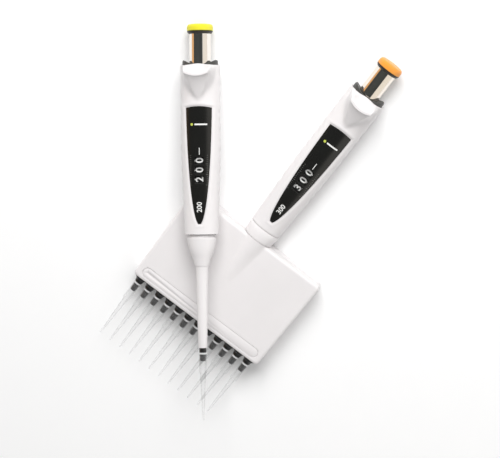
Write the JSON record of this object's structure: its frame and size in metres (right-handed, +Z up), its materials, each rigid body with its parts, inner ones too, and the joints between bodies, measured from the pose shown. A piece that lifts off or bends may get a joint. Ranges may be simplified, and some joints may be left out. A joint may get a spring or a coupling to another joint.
{
  "type": "pipette set",
  "caption": "Hand pipettes lying crossed: a flat multichannel module on a swivelling handle and a slim single-channel one, with push buttons, ejectors and loose tips.",
  "frame": {"origin": "centre of the flat back of the multichannel tip module, on the table", "axes": "+Y along the multichannel axis towards its push cap, +X to its right seen from the front, +Z up from the table out of the module front"},
  "size_m": [0.1903, 0.2901, 0.0588],
  "materials": {
    "white_plastic": "satin moulded plastic",
    "module_plastic": "satin moulded plastic",
    "label_black": "dark printed film",
    "drum_black": "matt, white figures",
    "yellow_cap": "satin",
    "orange_cap": "satin",
    "rim_dark": "satin",
    "chrome": "polished",
    "ejector_grey": "fine texture",
    "ejector_white": "satin moulded plastic",
    "steel": "ground",
    "cone_black": "satin",
    "clear_tip": "translucent",
    "inner_plastic": "as moulded",
    "seal_rubber": "matt",
    "filter_white": "porous"
  },
  "bodies": {
    "tip_module": {"module_front_cover": "module_plastic", "module_back_cover": "module_plastic", "module_strip_cover": "module_plastic", "module_screws": "steel", "multi_swivel_neck": "inner_plastic", "multi_tip_cones": "cone_black", "multi_piston_seals": "seal_rubber"},
    "multi_handle": {"multi_front_shell": "white_plastic", "multi_back_shell": "white_plastic", "multi_label_panel": "label_black", "multi_swivel_ring": "white_plastic", "multi_main_spring": "steel", "multi_blowout_spring": "steel", "multi_ejector_spring": "steel"},
    "multi_plunger": {"multi_plunger_rod": "steel"},
    "multi_button": {"multi_push_cap": "orange_cap", "multi_button_rim": "rim_dark", "multi_button_sleeve": "chrome"},
    "multi_volume_stop": {"multi_stop_nut": "inner_plastic"},
    "multi_units": {"multi_drum_units": "drum_black"},
    "multi_tens": {"multi_drum_tens": "drum_black"},
    "multi_hundreds": {"multi_drum_hundreds": "drum_black"},
    "multi_ejector": {"multi_ejector_saddle": "ejector_grey"},
    "multi_piston_set": {"multi_piston_bar": "inner_plastic", "multi_pistons": "inner_plastic"},
    "multi_comb": {"multi_ejector_comb": "cone_black"},
    "single_handle": {"single_front_shell": "white_plastic", "single_back_shell": "white_plastic", "single_label_panel": "label_black", "single_barrel": "cone_black", "single_piston_seal": "seal_rubber", "single_cone_filter": "filter_white", "single_main_spring": "steel", "single_blowout_spring": "steel", "single_ejector_spring": "steel"},
    "single_plunger": {"single_plunger_rod": "steel", "single_piston": "steel"},
    "single_button": {"single_push_cap": "yellow_cap", "single_button_rim": "rim_dark", "single_button_sleeve": "chrome"},
    "single_volume_stop": {"single_stop_nut": "inner_plastic"},
    "single_units": {"single_drum_units": "drum_black"},
    "single_tens": {"single_drum_tens": "drum_black"},
    "single_hundreds": {"single_drum_hundreds": "drum_black"},
    "single_ejector": {"single_ejector_saddle": "ejector_grey", "single_ejector_sleeve": "ejector_white"},
    "single_loose_tip": {"single_tip": "clear_tip"},
    "loose_tip_01": {"tip_01": "clear_tip"},
    "loose_tip_02": {"tip_02": "clear_tip"},
    "loose_tip_03": {"tip_03": "clear_tip"},
    "loose_tip_04": {"tip_04": "clear_tip"},
    "loose_tip_05": {"tip_05": "clear_tip"},
    "loose_tip_06": {"tip_06": "clear_tip"},
    "loose_tip_07": {"tip_07": "clear_tip"},
    "loose_tip_08": {"tip_08": "clear_tip"},
    "loose_tip_09": {"tip_09": "clear_tip"},
    "loose_tip_10": {"tip_10": "clear_tip"},
    "loose_tip_11": {"tip_11": "clear_tip"},
    "loose_tip_12": {"tip_12": "clear_tip"}
  },
  "joints": [
    {"name": "single_lift", "type": "slide", "parent": "tip_module", "child": "single_handle", "axis": [0, 0, 1], "range_m": [0, 0.08]},
    {"name": "multi_swivel", "type": "hinge", "parent": "tip_module", "child": "multi_handle", "pos_m": [0, 0.09845, 0.0118], "axis": [0, 1, 0], "continuous": true},
    {"name": "single_press", "type": "slide", "parent": "single_handle", "child": "single_plunger", "axis": [0.6104, -0.7729, 0.1734], "range_m": [0, 0.0155], "stiffness_N_per_m": 260, "springref_m": -0.005, "deforming": ["single_main_spring", "single_blowout_spring"]},
    {"name": "single_turn", "type": "hinge", "parent": "single_plunger", "child": "single_button", "pos_m": [-0.06502, 0.05984, 0.02626], "axis": [-0.6104, 0.7729, -0.1734], "range_deg": [-6480, 0]},
    {"name": "single_stop_travel", "type": "slide", "parent": "single_handle", "child": "single_volume_stop", "axis": [-0.6104, 0.7729, -0.1734], "range_m": [-0.00901, 0]},
    {"name": "single_units_turn", "type": "hinge", "parent": "single_handle", "child": "single_units", "pos_m": [-0.06502, 0.05984, 0.02626], "axis": [-0.6104, 0.7729, -0.1734], "range_deg": [-6480, 0]},
    {"name": "single_tens_turn", "type": "hinge", "parent": "single_handle", "child": "single_tens", "pos_m": [-0.06502, 0.05984, 0.02626], "axis": [-0.6104, 0.7729, -0.1734], "range_deg": [-648, 0]},
    {"name": "single_hundreds_turn", "type": "hinge", "parent": "single_handle", "child": "single_hundreds", "pos_m": [-0.06502, 0.05984, 0.02626], "axis": [-0.6104, 0.7729, -0.1734], "range_deg": [-64.8, 0]},
    {"name": "single_eject", "type": "slide", "parent": "single_handle", "child": "single_ejector", "axis": [0.6104, -0.7729, 0.1734], "range_m": [0, 0.0095], "stiffness_N_per_m": 220, "springref_m": -0.004, "deforming": ["single_ejector_spring"]},
    {"name": "multi_press", "type": "slide", "parent": "multi_handle", "child": "multi_plunger", "axis": [0, -1, 0], "range_m": [0, 0.0155], "stiffness_N_per_m": 260, "springref_m": -0.005, "deforming": ["multi_main_spring", "multi_blowout_spring"]},
    {"name": "multi_turn", "type": "hinge", "parent": "multi_plunger", "child": "multi_button", "pos_m": [0, 0.09845, 0.0118], "axis": [0, 1, 0], "range_deg": [-9720, 0]},
    {"name": "multi_stop_travel", "type": "slide", "parent": "multi_handle", "child": "multi_volume_stop", "axis": [0, 1, 0], "range_m": [-0.00901, 0]},
    {"name": "multi_units_turn", "type": "hinge", "parent": "multi_handle", "child": "multi_units", "pos_m": [0, 0.09845, 0.0118], "axis": [0, 1, 0], "range_deg": [-9720, 0]},
    {"name": "multi_tens_turn", "type": "hinge", "parent": "multi_handle", "child": "multi_tens", "pos_m": [0, 0.09845, 0.0118], "axis": [0, 1, 0], "range_deg": [-972, 0]},
    {"name": "multi_hundreds_turn", "type": "hinge", "parent": "multi_handle", "child": "multi_hundreds", "pos_m": [0, 0.09845, 0.0118], "axis": [0, 1, 0], "range_deg": [-97.2, 0]},
    {"name": "multi_eject", "type": "slide", "parent": "multi_handle", "child": "multi_ejector", "axis": [0, -1, 0], "range_m": [0, 0.0095], "stiffness_N_per_m": 220, "springref_m": -0.004, "deforming": ["multi_ejector_spring"]},
    {"name": "multi_piston_travel", "type": "slide", "parent": "tip_module", "child": "multi_piston_set", "axis": [0, -1, 0], "range_m": [0, 0.0155]},
    {"name": "multi_comb_travel", "type": "slide", "parent": "tip_module", "child": "multi_comb", "axis": [0, -1, 0], "range_m": [0, 0.0095]},
    {"name": "single_tip_pull", "type": "slide", "parent": "single_ejector", "child": "single_loose_tip", "axis": [0.6104, -0.7729, 0.1734], "range_m": [0, 0.03]},
    {"name": "tip_01_pull", "type": "slide", "parent": "multi_comb", "child": "loose_tip_01", "axis": [0, -1, 0], "range_m": [0, 0.03]},
    {"name": "tip_02_pull", "type": "slide", "parent": "multi_comb", "child": "loose_tip_02", "axis": [0, -1, 0], "range_m": [0, 0.03]},
    {"name": "tip_03_pull", "type": "slide", "parent": "multi_comb", "child": "loose_tip_03", "axis": [0, -1, 0], "range_m": [0, 0.03]},
    {"name": "tip_04_pull", "type": "slide", "parent": "multi_comb", "child": "loose_tip_04", "axis": [0, -1, 0], "range_m": [0, 0.03]},
    {"name": "tip_05_pull", "type": "slide", "parent": "multi_comb", "child": "loose_tip_05", "axis": [0, -1, 0], "range_m": [0, 0.03]},
    {"name": "tip_06_pull", "type": "slide", "parent": "multi_comb", "child": "loose_tip_06", "axis": [0, -1, 0], "range_m": [0, 0.03]},
    {"name": "tip_07_pull", "type": "slide", "parent": "multi_comb", "child": "loose_tip_07", "axis": [0, -1, 0], "range_m": [0, 0.03]},
    {"name": "tip_08_pull", "type": "slide", "parent": "multi_comb", "child": "loose_tip_08", "axis": [0, -1, 0], "range_m": [0, 0.03]},
    {"name": "tip_09_pull", "type": "slide", "parent": "multi_comb", "child": "loose_tip_09", "axis": [0, -1, 0], "range_m": [0, 0.03]},
    {"name": "tip_10_pull", "type": "slide", "parent": "multi_comb", "child": "loose_tip_10", "axis": [0, -1, 0], "range_m": [0, 0.03]},
    {"name": "tip_11_pull", "type": "slide", "parent": "multi_comb", "child": "loose_tip_11", "axis": [0, -1, 0], "range_m": [0, 0.03]},
    {"name": "tip_12_pull", "type": "slide", "parent": "multi_comb", "child": "loose_tip_12", "axis": [0, -1, 0], "range_m": [0, 0.03]}
  ],
  "couplings": [
    {"joint": "single_stop_travel", "follows": "single_turn", "m_per_rad": 0.000079577},
    {"joint": "single_units_turn", "follows": "single_turn", "ratio": 1},
    {"joint": "single_tens_turn", "follows": "single_turn", "ratio": 0.1},
    {"joint": "single_hundreds_turn", "follows": "single_turn", "ratio": 0.01},
    {"joint": "multi_stop_travel", "follows": "multi_turn", "m_per_rad": 0.000053052},
    {"joint": "multi_units_turn", "follows": "multi_turn", "ratio": 1},
    {"joint": "multi_tens_turn", "follows": "multi_turn", "ratio": 0.1},
    {"joint": "multi_hundreds_turn", "follows": "multi_turn", "ratio": 0.01},
    {"joint": "multi_piston_travel", "follows": "multi_press", "ratio": 1},
    {"joint": "multi_comb_travel", "follows": "multi_eject", "ratio": 1}
  ]
}
